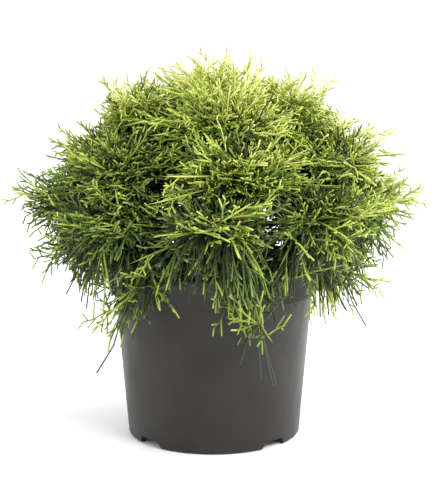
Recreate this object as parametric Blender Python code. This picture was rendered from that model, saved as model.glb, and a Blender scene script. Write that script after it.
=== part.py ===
"""A thread-leaved sawara cypress, a low mop of golden green shoots, in a round nursery pot.

Metres, +Z up. The origin is on the ground under the middle of the pot, and the front is -Y.
An azimuth is read from the front, -Y, towards +X. An elevation is read up from the level.

The crown is worked out in two steps. Each limb first grows straight out from the heart of the
crown, in its own cell of azimuth and elevation, so that no two masses of foliage can meet.
Then sagged() carries every point down to where its own weight takes it, which turns the
lowest shoots over the rim of the pot and leaves the upper ones nearly straight.
"""

import math
import random
from collections import namedtuple

import bmesh
import bpy
from mathutils import Vector

# The pot, a five litre container: heights and radii of its outer side.
POT_HEIGHT = 0.180
RIM_RADIUS = 0.1125
BAND_FOOT_HEIGHT = 0.149
BAND_FOOT_RADIUS = 0.1062
BODY_TOP_RADIUS = 0.1010
FOOT_RADIUS = 0.0890
FOOT_ROUND = 0.0035
WALL = 0.0020
FLOOR_UNDERSIDE = 0.0095
FLOOR_THICK = 0.0030
POT_SIDES = 36

# Four notches part the foot ring into four feet, and drain holes pass through the floor.
FEET = 4
NOTCH_TURN = 43.2
NOTCH_WIDTH_LOW = 0.0320
NOTCH_WIDTH_HIGH = 0.0235
NOTCH_HEIGHT = 0.0080
HOLE_RADIUS = 0.0050
HOLE_CIRCLE = 0.0640

# The growing medium fills the pot to below the rim.
SOIL_LEVEL = 0.160
SOIL_ROLL = 0.0022
SOIL_FLAT_RADIUS = 0.026
SOIL_RINGS = 5
GAP = 0.0003

# The trunk: where it stands, and its radii from the root flare to the tip.
TRUNK_FOOT = (-0.0040, 0.0030)
TRUNK_SIDES = 9
TRUNK_STATIONS = (
    (0.000, 0.0115),
    (0.004, 0.0093),
    (0.011, 0.0076),
    (0.026, 0.0068),
    (0.055, 0.0058),
    (0.090, 0.0042),
    (0.1297, 0.0020),
)

# The crown: its heart, and the ball round the heart that holds only limbs.
HEART = Vector((0.0, 0.0, 0.215))
LIMB_BALL = 0.075
# For some elevations of the straight crown: how far from the heart the longest shoots reach,
# and the share by which the right side reaches further, and the left side less far.
REACH = (
    (-16, 0.139, 0.000),
    (-7, 0.168, 0.010),
    (2, 0.208, 0.015),
    (12, 0.220, 0.015),
    (28, 0.203, 0.045),
    (45, 0.189, 0.030),
    (63, 0.190, -0.010),
    (75, 0.176, 0.030),
    (90, 0.174, 0.000),
)

# How the crown sags: nothing inside SAG_START from the axis, more past the rim, by an amount
# that changes round the pot, and least above SAG_TOP.
SAG_START = 0.112
SAG_SOFT = 0.0125
SAG_ROUND = (
    (-180, 0.060),
    (-135, 0.095),
    (-90, 0.030),
    (-62, 0.050),
    (-44, 0.112),
    (-24, 0.050),
    (0, 0.055),
    (17, 0.112),
    (36, 0.050),
    (62, 0.060),
    (90, 0.050),
    (135, 0.090),
    (180, 0.060),
)
SAG_TOP = 0.245
SAG_BAND = 0.062
SAG_LEAST = 0.14

# Limbs and shoots: radii, sides, and how threads stand on their stems.
BOUGH_RADIUS = 0.0027
BOUGH_TIP_RADIUS = 0.0017
BOUGH_SIDES = 5
LEADER_RADII = (0.0018, 0.0011)
LEADER_PARTS = 3
LATERAL_RADII = (0.0015, 0.0010)
SHOOT_SIDES = 3
THREAD_RADIUS = 0.0021
THREAD_WAIST = 0.38
THREAD_ANGLE = 38
THREAD_LONG = 0.036
THREAD_SHORT = 0.013
THREADS_ON_LEADER = 4
THREADS_ON_LATERAL = 2
TRIES = 3
CLEAR = 0.0012
PAST_OUTLINE = 0.0010
PROBE_STEP = 0.002
SEED = 7

Row = namedtuple("Row", "name masses floor low stem high turn leave step")
# Rows of masses, from the skirt that hangs over the pot up to the tuft at the top: how many
# masses, the floor below which none of their shoots go, the elevations of their lowest shoots,
# of their stems and of their highest shoots, the azimuth of the first mass, and the height
# at which the first bough leaves the trunk, with the rise to the next.
ROWS = (
    Row("skirt", 7, -60, -17, -3, 2, 17, 0.1790, 0.0030),
    Row("low", 8, 2, 2, 11, 20, 0, 0.2010, 0.0026),
    Row("middle", 6, 20, 20, 30, 41, 12, 0.2250, 0.0028),
    Row("high", 4, 41, 41, 53, 66, -82, 0.2440, 0.0030),
    Row("top", 1, 66, 66, 90, 90, 0, None, None),
)
# Where side shoots end on the outline of a mass, as shares across and up its cell.
PLACES = (
    (-0.70, -0.60),
    (0.00, -0.66),
    (0.70, -0.60),
    (-0.74, 0.06),
    (0.74, 0.06),
    (-0.40, 0.66),
    (0.40, 0.66),
)
TOP_PLACES = ((-0.80, 0.62), (-0.55, 0.40), (-0.30, 0.68), (0.00, 0.42), (0.30, 0.66), (0.62, 0.46))

POT_GREY = (0.055, 0.055, 0.058, 1.0)
SOIL_BROWN = (0.030, 0.020, 0.014, 1.0)
BARK_BROWN = (0.130, 0.055, 0.030, 1.0)
SHOOT_GREEN = (0.200, 0.290, 0.040, 1.0)


def clear_scene():
    for old in list(bpy.data.objects):
        bpy.data.objects.remove(old, do_unlink=True)


def material(name, colour, roughness):
    made = bpy.data.materials.new(name)
    made.use_nodes = True
    shader = made.node_tree.nodes["Principled BSDF"]
    shader.inputs["Base Color"].default_value = colour
    shader.inputs["Roughness"].default_value = roughness
    shader.inputs["Metallic"].default_value = 0.0
    return made


def object_from(bm, name, finish):
    """Turns a bmesh into an object in the scene, with outward faces and one material."""
    bmesh.ops.recalc_face_normals(bm, faces=bm.faces)
    mesh = bpy.data.meshes.new(name)
    bm.to_mesh(mesh)
    bm.free()
    made = bpy.data.objects.new(name, mesh)
    bpy.context.scene.collection.objects.link(made)
    mesh.materials.append(finish)
    return made


def as_cutter(obj):
    obj.hide_render = True
    obj.display_type = "WIRE"
    return obj


def cut(obj, cutter):
    boolean = obj.modifiers.new("cut by " + cutter.name, "BOOLEAN")
    boolean.operation = "DIFFERENCE"
    boolean.solver = "EXACT"
    boolean.object = cutter


def turned(name, profile, finish):
    """Turns a profile of (radius, height) points, from the axis round to the axis, once round."""
    bm = bmesh.new()
    points = [bm.verts.new((radius, 0.0, height)) for radius, height in profile]
    edges = [bm.edges.new(pair) for pair in zip(points, points[1:])]
    bmesh.ops.spin(
        bm,
        geom=points + edges,
        axis=(0, 0, 1),
        cent=(0, 0, 0),
        angle=2 * math.pi,
        steps=POT_SIDES,
        use_merge=True,
    )
    bmesh.ops.remove_doubles(bm, verts=bm.verts, dist=1e-6)
    made = object_from(bm, name, finish)
    made.data.shade_smooth()
    made.data.set_sharp_from_angle(angle=math.radians(35))
    return made


def body_radius(height):
    """The outer radius of the pot's tapering body at a height."""
    share = (height - FOOT_ROUND) / (BAND_FOOT_HEIGHT - FOOT_ROUND)
    return FOOT_RADIUS + share * (BODY_TOP_RADIUS - FOOT_RADIUS)


def pot_outside():
    """Outer half of the pot's profile, from the ground up to the top of the rolled rim."""
    band = BAND_FOOT_HEIGHT
    return [
        (FOOT_RADIUS - FOOT_ROUND, 0.0),
        (FOOT_RADIUS - 0.3 * FOOT_ROUND, 0.3 * FOOT_ROUND),
        (FOOT_RADIUS, FOOT_ROUND),
        (body_radius(0.5 * band), 0.5 * band),
        (BODY_TOP_RADIUS, band),
        (BAND_FOOT_RADIUS - 0.0008, band),
        (BAND_FOOT_RADIUS, band + 0.0010),
        (RIM_RADIUS - 0.0014, POT_HEIGHT - 0.0045),
        (RIM_RADIUS, POT_HEIGHT - 0.0030),
        (RIM_RADIUS, POT_HEIGHT - 0.0010),
        (RIM_RADIUS - 0.0010, POT_HEIGHT),
    ]


def pot_inside():
    """Inner half of the pot's profile, from the rim down to where the floor starts."""
    floor = FLOOR_UNDERSIDE + FLOOR_THICK
    band = BAND_FOOT_HEIGHT
    return [
        (RIM_RADIUS - 0.0034, POT_HEIGHT),
        (RIM_RADIUS - 0.0040, POT_HEIGHT - 0.0040),
        (BAND_FOOT_RADIUS - WALL, band + 0.0030),
        (BODY_TOP_RADIUS - WALL, band - 0.0030),
        (body_radius(floor) - WALL, floor + 0.0020),
        (body_radius(floor) - WALL - 0.0020, floor),
    ]


def make_pot(finish):
    """A moulded pot: a tapering body, a wider band at the rim, and a floor held off the ground."""
    ring_inside = FOOT_RADIUS - FOOT_ROUND - WALL
    profile = [(0.0, FLOOR_UNDERSIDE), (ring_inside + 0.0010, FLOOR_UNDERSIDE), (ring_inside, 0.0)]
    profile += pot_outside() + pot_inside()
    profile += [(0.0, FLOOR_UNDERSIDE + FLOOR_THICK)]
    pot = turned("pot", profile, finish)
    for number in range(FEET):
        azimuth = NOTCH_TURN + number * 360 / FEET
        cut(pot, notch_cutter(number, azimuth))
        cut(pot, hole_cutter(number, azimuth))
    return pot


def notch_cutter(number, azimuth):
    """A wedge through the foot ring, wider at the ground than at its top."""
    bm = bmesh.new()
    outline = []
    for width, height in (
        (NOTCH_WIDTH_LOW, -0.002),
        (NOTCH_WIDTH_LOW, 0.0),
        (NOTCH_WIDTH_HIGH, NOTCH_HEIGHT),
    ):
        outline.insert(0, bm.verts.new((-width / 2, -FOOT_RADIUS * 0.86, height)))
        outline.append(bm.verts.new((width / 2, -FOOT_RADIUS * 0.86, height)))
    face = bm.faces.new(outline)
    pulled = bmesh.ops.extrude_face_region(bm, geom=[face])["geom"]
    corners = [item for item in pulled if isinstance(item, bmesh.types.BMVert)]
    bmesh.ops.translate(bm, verts=corners, vec=(0, -FOOT_RADIUS * 0.3, 0))
    cutter = as_cutter(object_from(bm, f"notch_cutter_{number + 1}", None))
    cutter.rotation_euler.z = math.radians(azimuth)
    return cutter


def hole_cutter(number, azimuth):
    """A short drum through the floor, where water drains."""
    bm = bmesh.new()
    bmesh.ops.create_cone(
        bm,
        cap_ends=True,
        segments=10,
        radius1=HOLE_RADIUS,
        radius2=HOLE_RADIUS,
        depth=3 * FLOOR_THICK,
    )
    cutter = as_cutter(object_from(bm, f"hole_cutter_{number + 1}", None))
    cutter.location = HOLE_CIRCLE * compass(azimuth + 45)
    cutter.location.z = FLOOR_UNDERSIDE + FLOOR_THICK / 2
    return cutter


def compass(azimuth, elevation=0.0):
    """Unit vector at an azimuth and an elevation, both in degrees."""
    a, e = math.radians(azimuth), math.radians(elevation)
    return Vector((math.sin(a) * math.cos(e), -math.cos(a) * math.cos(e), math.sin(e)))


def soil_height(x, y):
    """The top of the growing medium: low rolls, and a flat place where the trunk stands."""
    out = math.hypot(x - TRUNK_FOOT[0], y - TRUNK_FOOT[1])
    share = min(1.0, max(0.0, (out - SOIL_FLAT_RADIUS) / SOIL_FLAT_RADIUS))
    roll = math.sin(61 * x + 0.8) * math.sin(74 * y - 0.5) + 0.5 * math.sin(139 * (x + y))
    return SOIL_LEVEL + SOIL_ROLL * share * roll


def make_soil(finish):
    """The growing medium: the inside of the pot, a gap smaller, with an uneven top."""
    floor = FLOOR_UNDERSIDE + FLOOR_THICK + GAP
    band = BAND_FOOT_HEIGHT
    inner = body_radius(floor) - WALL - GAP
    step = (SOIL_LEVEL - band) / (POT_HEIGHT - band) * (RIM_RADIUS - BAND_FOOT_RADIUS)
    top_radius = BAND_FOOT_RADIUS + step - WALL - 0.0012
    profile = [
        (0.0, floor),
        (inner - 0.0024, floor),
        (inner, floor + 0.0024),
        (BODY_TOP_RADIUS - WALL - GAP, band - 0.0034),
        (BAND_FOOT_RADIUS - WALL - GAP, band + 0.0034),
    ]
    profile += [(top_radius * share / SOIL_RINGS, SOIL_LEVEL) for share in range(SOIL_RINGS, -1, -1)]
    soil = turned("growing_medium", profile, finish)
    for vertex in soil.data.vertices:
        if abs(vertex.co.z - SOIL_LEVEL) < 1e-6:
            vertex.co.z = soil_height(vertex.co.x, vertex.co.y)
    return soil


def bearing(arm):
    """The azimuth and the elevation of an arm, in degrees."""
    elevation = math.atan2(arm.z, math.hypot(arm.x, arm.y))
    return math.degrees(math.atan2(arm.x, -arm.y)), math.degrees(elevation)


def across(direction):
    """Two unit vectors square to a direction, the first of them as level as it can be."""
    side = direction.cross(Vector((0, 0, 1)))
    if side.length < 0.05:
        side = Vector((1, 0, 0))
    side.normalize()
    return side, direction.cross(side).normalized()


def tangents(path):
    """The direction of a path at each of its points."""
    ends = [path[0]] + list(path) + [path[-1]]
    return [(after - before).normalized() for before, after in zip(ends, ends[2:])]


def limb_mesh(path, radii, sides):
    """A tapering limb: rings of points along the path, and a point where the radius is 0."""
    bm = bmesh.new()
    directions = tangents(path)
    side, _ = across(directions[0])
    rings = []
    for point, direction, radius in zip(path, directions, radii):
        side = (side - side.dot(direction) * direction).normalized()
        up = direction.cross(side)
        angles = [2 * math.pi * number / sides for number in range(sides if radius else 1)]
        rings.append(
            [bm.verts.new(point + radius * (math.cos(a) * side + math.sin(a) * up)) for a in angles]
        )
    for end in (rings[0], rings[-1]):
        if len(end) > 1:
            bm.faces.new(end)
    for low, high in zip(rings, rings[1:]):
        for number in range(sides):
            after = number + 1
            corners = [low[number % len(low)], low[after % len(low)]]
            corners += [high[after % len(high)], high[number % len(high)]]
            bm.faces.new(list(dict.fromkeys(corners)))
    return bm


def bow(start, handle, end, stations):
    """Points along a quadratic curve that leaves start towards handle and arrives at end."""
    points = []
    for number in range(stations):
        t = number / (stations - 1)
        points.append((1 - t) ** 2 * start + 2 * t * (1 - t) * handle + t * t * end)
    return points


def trunk_path():
    """The trunk's middle line: it leans in from its foot to under the top of the crown."""
    foot = Vector((*TRUNK_FOOT, SOIL_LEVEL + GAP))
    rise = TRUNK_STATIONS[-1][0]
    path = []
    for height, _ in TRUNK_STATIONS:
        share = height / rise
        lean = 1 - share * share * (3 - 2 * share)
        path.append(Vector((foot.x * lean, foot.y * lean, foot.z + height - share * GAP)))
    return path


def trunk_point(height):
    """The trunk's middle line at a height above the ground."""
    path = trunk_path()
    for low, high in zip(path, path[1:]):
        if low.z <= height <= high.z:
            return low.lerp(high, (height - low.z) / (high.z - low.z))
    return path[-1]


def make_trunk(finish):
    """The trunk, and a copy a gap wider that saddles each bough's foot to it."""
    path = trunk_path()
    radii = [radius for _, radius in TRUNK_STATIONS]
    trunk = object_from(limb_mesh(path, radii, TRUNK_SIDES), "trunk", finish)
    swollen = [radius + GAP / math.cos(math.pi / TRUNK_SIDES) for radius in radii]
    path[0] = path[0] - Vector((0, 0, GAP))
    cutter = object_from(limb_mesh(path, swollen, TRUNK_SIDES), "trunk_cutter", None)
    return trunk, as_cutter(cutter)


def between(table, value):
    """The rest of a table's row at a value of its first column, read between its rows."""
    for low, high in zip(table, table[1:]):
        if value <= high[0]:
            share = (value - low[0]) / (high[0] - low[0])
            return [a + (b - a) * share for a, b in zip(low[1:], high[1:])]
    return table[-1][1:]


def reach(azimuth, elevation):
    """How far from the heart the longest shoots go in a direction of the straight crown."""
    far, lean = between(REACH, elevation)
    return far * (1 + lean * math.sin(math.radians(azimuth)))


def sagged(point):
    """Carries a point of the straight crown to where the shoots' own weight takes it."""
    over = max(0.0, math.hypot(point.x, point.y) - SAG_START)
    (most,) = between(SAG_ROUND, math.degrees(math.atan2(point.x, -point.y)))
    share = min(1.0, max(SAG_LEAST, (SAG_TOP - point.z) / SAG_BAND))
    return Vector((point.x, point.y, point.z - most * share * over**2 / (over**2 + SAG_SOFT**2)))


class Cell:
    """The space that one mass keeps to: a block of azimuth and elevation round the heart."""

    def __init__(self, row, number):
        self.row = row
        self.number = number
        self.single = row.masses == 1
        self.name = row.name if self.single else f"{row.name}_{number + 1}"
        self.half_width = 180 / row.masses
        self.azimuth = row.turn + number * 360 / row.masses
        self.stem_aim = compass(self.azimuth, row.stem)

    def aim(self, across_share, up_share):
        """Unit vector to a place on the outline: shares run from -1 to 1 across the cell."""
        low, high = self.row.low, self.row.high
        if self.single:
            return compass(180 * across_share, high - (high - low) * up_share)
        azimuth = self.azimuth + across_share * self.half_width
        return compass(azimuth, (low + high + up_share * (high - low)) / 2)

    def holds(self, point, radius):
        """True if a ball at a point of the straight crown is in the cell, with room to spare."""
        arm = point - HEART
        distance = arm.length
        room = radius + CLEAR
        if distance < LIMB_BALL + room:
            return False
        azimuth, elevation = bearing(arm)
        if distance > reach(azimuth, elevation) + PAST_OUTLINE:
            return False
        if distance * math.sin(math.radians(elevation - self.row.floor)) < room:
            return False
        if self.single:
            return True
        if distance * math.sin(math.radians(self.row.high - elevation)) < room:
            return False
        off = abs((azimuth - self.azimuth + 180) % 360 - 180)
        if off >= self.half_width:
            return False
        return math.hypot(arm.x, arm.y) * math.sin(math.radians(self.half_width - off)) >= room


def clear_of_pot(point, radius):
    """True if a ball clears the pot's rim and outer side, and the growing medium."""
    out = math.hypot(point.x, point.y)
    room = radius + CLEAR
    if out > RIM_RADIUS + room:
        return True
    if out > RIM_RADIUS - 0.006 - room:
        return point.z > POT_HEIGHT + room
    return point.z > SOIL_LEVEL + 2 * SOIL_ROLL + room


def fits(cell, straight_path, radius):
    """True if a whole straight-crown path stays in its cell, and clears the pot once it sags."""
    for start, end in zip(straight_path, straight_path[1:]):
        low, high = sagged(start), sagged(end)
        steps = math.ceil((end - start).length / PROBE_STEP)
        for number in range(steps + 1):
            t = number / steps
            if not cell.holds(start.lerp(end, t), radius):
                return False
            if not clear_of_pot(low.lerp(high, t), radius):
                return False
    return True


def outline(aim):
    """The point where the longest shoot that goes a certain way from the heart ends."""
    return HEART + aim * reach(*bearing(aim))


def leader_path(cell):
    """The stem of a mass goes on from its bough's tip to the outline, through the cell's middle."""
    start = HEART + cell.stem_aim * (LIMB_BALL + GAP)
    end = outline(cell.stem_aim)
    return [start.lerp(end, number / LEADER_PARTS) for number in range(LEADER_PARTS + 1)]


def lateral_path(cell, leader, place, rng):
    """A side shoot leaves the leader and bows out to a place on the outline."""
    aim = cell.aim(place[0] + rng.uniform(-0.09, 0.09), place[1] + rng.uniform(-0.11, 0.11))
    tip = HEART + (outline(aim) - HEART) * rng.uniform(0.88, 1.0)
    foot = leader[0].lerp(leader[-1], rng.uniform(0.05, 0.34))
    along = (leader[-1] - leader[0]).normalized()
    return bow(foot, foot + along * 0.32 * (tip - foot).length, tip, 3)


def thread_path(stem, number, count, tilt, rng):
    """A thread leaves its stem left or right in turn, and is shorter near the stem's tip."""
    t = 0.24 + 0.66 * (number + rng.uniform(0.2, 0.8)) / count
    spot = t * (len(stem) - 1)
    low = int(spot)
    foot = stem[low].lerp(stem[low + 1], spot - low)
    along = (stem[low + 1] - stem[low]).normalized()
    side, up = across(along)
    turn = tilt + math.radians(rng.uniform(-22, 22)) + math.pi * (number % 2)
    lean = math.radians(THREAD_ANGLE + rng.uniform(-9, 9))
    out = math.cos(turn) * side + math.sin(turn) * up
    length = (THREAD_LONG + (THREAD_SHORT - THREAD_LONG) * t) * rng.uniform(0.85, 1.15)
    tip = foot + length * (math.cos(lean) * along + math.sin(lean) * out)
    return [foot, foot.lerp(tip, THREAD_WAIST), tip]


def graded(radii, count):
    """Radii that run evenly from the first value to the second."""
    return [radii[0] + (radii[1] - radii[0]) * number / (count - 1) for number in range(count)]


def shoots_of(cell):
    """Every shoot of a mass as a straight-crown path and its radii, the leader first."""
    rng = random.Random(f"{SEED} {cell.name}")
    leader = leader_path(cell)
    stems = [(leader, LEADER_RADII, THREADS_ON_LEADER)]
    for place in TOP_PLACES if cell.single else PLACES:
        for _ in range(TRIES):
            path = lateral_path(cell, leader, place, rng)
            if fits(cell, path[1:], LATERAL_RADII[0]):
                stems.append((path, LATERAL_RADII, THREADS_ON_LATERAL))
                break
    shoots = [(path, graded(radii, len(path))) for path, radii, _ in stems]
    for path, _, count in stems:
        tilt = math.radians(rng.uniform(-40, 40))
        for number in range(count):
            for _ in range(TRIES):
                thread = thread_path(path, number, count, tilt, rng)
                if fits(cell, thread, THREAD_RADIUS):
                    shoots.append((thread, (0.0, THREAD_RADIUS, 0.0)))
                    break
    return shoots


def largest_part(mesh):
    """Keeps the largest joined part of a mesh: a scrap or a sealed hollow's wall goes."""
    bm = bmesh.new()
    bm.from_mesh(mesh)
    waiting, parts = set(bm.verts), []
    while waiting:
        part, edge = set(), [waiting.pop()]
        while edge:
            vertex = edge.pop()
            part.add(vertex)
            near = {link.other_vert(vertex) for link in vertex.link_edges} & waiting
            waiting -= near
            edge.extend(near)
        parts.append(part)
    parts.sort(key=len)
    bmesh.ops.delete(bm, geom=[v for part in parts[:-1] for v in part], context="VERTS")
    bm.to_mesh(mesh)
    bm.free()


def fused(name, shoots, finish):
    """One solid from a leader and all that stands on it, by one Boolean union."""
    twigs = bpy.data.collections.new(f"{name}_twigs")
    bpy.context.scene.collection.children.link(twigs)
    made = []
    for path, radii in shoots:
        bm = limb_mesh([sagged(point) for point in path], radii, SHOOT_SIDES)
        made.append(object_from(bm, f"{name}_twig", finish))
    leader, others = made[0], made[1:]
    for twig in others:
        bpy.context.scene.collection.objects.unlink(twig)
        twigs.objects.link(twig)
    union = leader.modifiers.new("union", "BOOLEAN")
    union.operation = "UNION"
    union.operand_type = "COLLECTION"
    union.collection = twigs
    union.solver = "MANIFOLD"
    graph = bpy.context.evaluated_depsgraph_get()
    mesh = bpy.data.meshes.new_from_object(leader.evaluated_get(graph))
    leader.modifiers.clear()
    leader.data = mesh
    for twig in others:
        bpy.data.objects.remove(twig, do_unlink=True)
    bpy.data.collections.remove(twigs)
    largest_part(mesh)
    leader.name = name
    return leader


def make_bough(cell, cutter, finish):
    """A limb from the trunk to where its mass begins, bowed upward on the way."""
    row = cell.row
    start = trunk_point(row.leave + row.step * (cell.number * 3 % row.masses))
    tip = HEART + cell.stem_aim * LIMB_BALL
    handle = tip - cell.stem_aim * 0.46 * (tip - start).length
    path = bow(start, handle, tip, 4)
    radii = graded((BOUGH_RADIUS, BOUGH_TIP_RADIUS), len(path))
    bough = object_from(limb_mesh(path, radii, BOUGH_SIDES), f"bough_{cell.name}", finish)
    cut(bough, cutter)
    return bough


def main():
    clear_scene()
    pot_finish = material("pot_plastic", POT_GREY, 0.45)
    soil_finish = material("growing_medium", SOIL_BROWN, 0.95)
    bark_finish = material("bark", BARK_BROWN, 0.85)
    shoot_finish = material("shoots", SHOOT_GREEN, 0.6)
    make_pot(pot_finish)
    make_soil(soil_finish)
    _, cutter = make_trunk(bark_finish)
    for row in ROWS:
        for number in range(row.masses):
            cell = Cell(row, number)
            if row.leave is not None:
                make_bough(cell, cutter, bark_finish)
            fused(f"foliage_{cell.name}", shoots_of(cell), shoot_finish)


main()
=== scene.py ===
# %% [markdown]
# # A thread-leaved cypress in a nursery pot
# The plant is a low mop of thin, cord-like shoots that spring from a short stem, lie over the
# rim of the pot and hang down past it. The solids that come with the frame hold the true sizes.
# This lesson dresses them: a finer pot, crumbly growing medium, bark, and a crown of many
# thousand fine shoots that grow by the same rule as the coarse ones in the solids. All lengths
# are in metres. Angles that have a name are in degrees, unless a comment says radians.

# %% Load the frame
import math
import random
from collections import namedtuple

import bmesh
import bpy
import numpy as np
from mathutils import Matrix, Vector, noise


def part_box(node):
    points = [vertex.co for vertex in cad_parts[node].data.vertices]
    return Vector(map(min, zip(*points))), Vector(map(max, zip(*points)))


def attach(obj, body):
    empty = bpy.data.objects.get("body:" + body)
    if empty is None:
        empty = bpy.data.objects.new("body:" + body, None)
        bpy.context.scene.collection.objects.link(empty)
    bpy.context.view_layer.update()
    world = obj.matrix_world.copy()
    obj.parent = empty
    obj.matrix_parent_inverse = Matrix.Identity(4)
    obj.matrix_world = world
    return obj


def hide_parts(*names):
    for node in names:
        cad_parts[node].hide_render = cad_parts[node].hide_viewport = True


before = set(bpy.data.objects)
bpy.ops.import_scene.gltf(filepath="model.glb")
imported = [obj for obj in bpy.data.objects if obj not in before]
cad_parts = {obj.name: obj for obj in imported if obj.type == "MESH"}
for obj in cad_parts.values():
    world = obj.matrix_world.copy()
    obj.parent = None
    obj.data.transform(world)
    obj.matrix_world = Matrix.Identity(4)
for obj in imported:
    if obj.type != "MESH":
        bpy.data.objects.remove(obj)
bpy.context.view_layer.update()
pot_low, pot_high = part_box("pot")
print("pot stands at", pot_low[2], "and is", pot_high[2], "tall")

# %% [markdown]
# ## The shape of the pot
# A nursery pot is moulded in dark recycled plastic. It tapers, has a wider band under a rolled
# rim, and stands on a foot ring that four notches part into feet, so that water can run out from
# under the raised floor. The solid has all of that in 36 flat sides, with plain slopes for the
# small rounds. Smooth shading would blur its edges and still leave the flat sides in the outline.
# So the pot is turned anew, in finer steps, from a profile with true rounds.

# %% Pot sizes
POT_HEIGHT = pot_high[2]
RIM_RADIUS = pot_high[1]
BAND_FOOT_HEIGHT = 0.149
BAND_FOOT_RADIUS = 0.1062
BODY_TOP_RADIUS = 0.1010
FOOT_RADIUS = 0.0890
FOOT_ROUND = 0.0035
FOOT_CHAMFER = 0.0008
WALL = 0.0020
FLOOR_UNDERSIDE = 0.0095
FLOOR_THICK = 0.0030
POT_STEPS = 144

# %% Sizes of the small rounds
# The lip is the band's lower edge, which stands out from the body over a narrow crease.
CREASE = 0.0006
LIP_ROUND = 0.0009
LIP_TOP_RISE = 0.0022
LIP_TOP_INSET = 0.0002
# The bead is the rolled edge of the rim. Its side is upright between two rounds.
BEAD_ROUND = 0.0016
BEAD_LOW_CENTRE = 0.0026
BEAD_NECK_INSET = 0.0026
BEAD_NECK_DROP = 0.0062
BEAD_INNER_ROUND = 0.0010
BEAD_INNER_CENTRE = 0.0030
# Inside, the wall steps in behind the lip and turns into the floor with a slope.
STEP_HALF_HEIGHT = 0.0030
CORNER_RISE = 0.0020
CORNER_RUN = 0.0040


# %% Helpers for a profile
def arc(centre, radius, start, end, steps):
    """Points on an arc in the profile's plane."""
    angles = [math.radians(start + (end - start) * step / steps) for step in range(steps + 1)]
    return [(centre[0] + radius * math.cos(a), centre[1] + radius * math.sin(a)) for a in angles]


def body_radius(height):
    """The outer radius of the tapering body, between the foot and the band."""
    share = (height - FOOT_ROUND) / (BAND_FOOT_HEIGHT - FOOT_ROUND)
    return FOOT_RADIUS + share * (BODY_TOP_RADIUS - FOOT_RADIUS)


# %% Profile of the outside
# A ring on the underside and rings up the body keep the long faces of the turned mesh short.
UNDERSIDE_RING = 0.04
BODY_RINGS = (0.02, 0.05, 0.08, 0.11, 0.14)


def outside_profile():
    """From the middle of the underside, round the foot and up to the top of the bead."""
    band = BAND_FOOT_HEIGHT
    inside_foot = FOOT_RADIUS - FOOT_ROUND - WALL
    profile = [(0.0, FLOOR_UNDERSIDE), (UNDERSIDE_RING, FLOOR_UNDERSIDE), (inside_foot, FLOOR_UNDERSIDE)]
    profile += [(inside_foot, FOOT_CHAMFER), (inside_foot + FOOT_CHAMFER, 0.0)]
    profile += arc((FOOT_RADIUS - FOOT_ROUND, FOOT_ROUND), FOOT_ROUND, -90, 0, 6)
    profile += [(body_radius(height), height) for height in BODY_RINGS]
    profile += [(BODY_TOP_RADIUS, band - CREASE), (BODY_TOP_RADIUS + CREASE, band)]
    profile += [(BAND_FOOT_RADIUS - LIP_ROUND, band)]
    profile += arc((BAND_FOOT_RADIUS - LIP_ROUND, band + LIP_ROUND), LIP_ROUND, -60, 0, 3)
    profile += [(BAND_FOOT_RADIUS - LIP_TOP_INSET, band + LIP_TOP_RISE)]
    profile += [(RIM_RADIUS - BEAD_NECK_INSET, POT_HEIGHT - BEAD_NECK_DROP)]
    profile += arc((RIM_RADIUS - BEAD_ROUND, POT_HEIGHT - BEAD_LOW_CENTRE), BEAD_ROUND, -60, 0, 4)
    return profile + arc((RIM_RADIUS - BEAD_ROUND, POT_HEIGHT - BEAD_ROUND), BEAD_ROUND, 0, 90, 5)


# %% Profile of the inside
FLOOR_RING = 0.05


def inside_profile():
    """From the bead's inner round down the wall, and over the floor to its middle."""
    floor = FLOOR_UNDERSIDE + FLOOR_THICK
    band = BAND_FOOT_HEIGHT
    bead_centre = (RIM_RADIUS - BEAD_INNER_CENTRE, POT_HEIGHT - BEAD_INNER_ROUND)
    profile = arc(bead_centre, BEAD_INNER_ROUND, 90, 180, 3)
    profile += [(BAND_FOOT_RADIUS - WALL, band + STEP_HALF_HEIGHT)]
    profile += [(BODY_TOP_RADIUS - WALL, band - STEP_HALF_HEIGHT)]
    profile += [(body_radius(floor) - WALL, floor + CORNER_RISE)]
    profile += [(body_radius(floor) - CORNER_RUN, floor)]
    return profile + [(FLOOR_RING, floor), (0.0, floor)]


pot_profile = outside_profile() + inside_profile()
print("points in the pot's profile", len(pot_profile))


# %% Turn a profile
MERGE_DISTANCE = 1e-6


def spun(profile, steps):
    """A closed bmesh turned from a profile that starts and ends on the axis."""
    bm = bmesh.new()
    points = [bm.verts.new((radius, 0.0, height)) for radius, height in profile]
    edges = [bm.edges.new(pair) for pair in zip(points, points[1:])]
    bmesh.ops.spin(
        bm,
        geom=points + edges,
        axis=(0, 0, 1),
        cent=(0, 0, 0),
        angle=2 * math.pi,
        steps=steps,
        use_merge=True,
    )
    bmesh.ops.remove_doubles(bm, verts=bm.verts, dist=MERGE_DISTANCE)
    bmesh.ops.recalc_face_normals(bm, faces=bm.faces)
    return bm


# %% [markdown]
# ## Notches and drain holes
# Water leaves through holes in the floor, and through notches in the foot ring. A profile can't
# give them, because they aren't the same all round. So each notch is a block, narrower at its
# top, and each hole is a short cylinder, and Booleans take them away from the turned shape. They
# are applied at once, so that the finished pot is one plain mesh.

# %% Notches
FEET = 4
NOTCH_TURN = 43.2
NOTCH_WIDTH_LOW = 0.0320
NOTCH_WIDTH_HIGH = 0.0235
NOTCH_HEIGHT = 0.0080
NOTCH_UNDERCUT = 0.002
# The block starts inside the foot ring and is pulled out through it, in shares of the foot's radius.
NOTCH_START = 0.86
NOTCH_PULL = 0.3


def pulled_corners(pulled):
    """The new corners among all that an extrude operator gives back."""
    return [item for item in pulled["geom"] if isinstance(item, bmesh.types.BMVert)]


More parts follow.
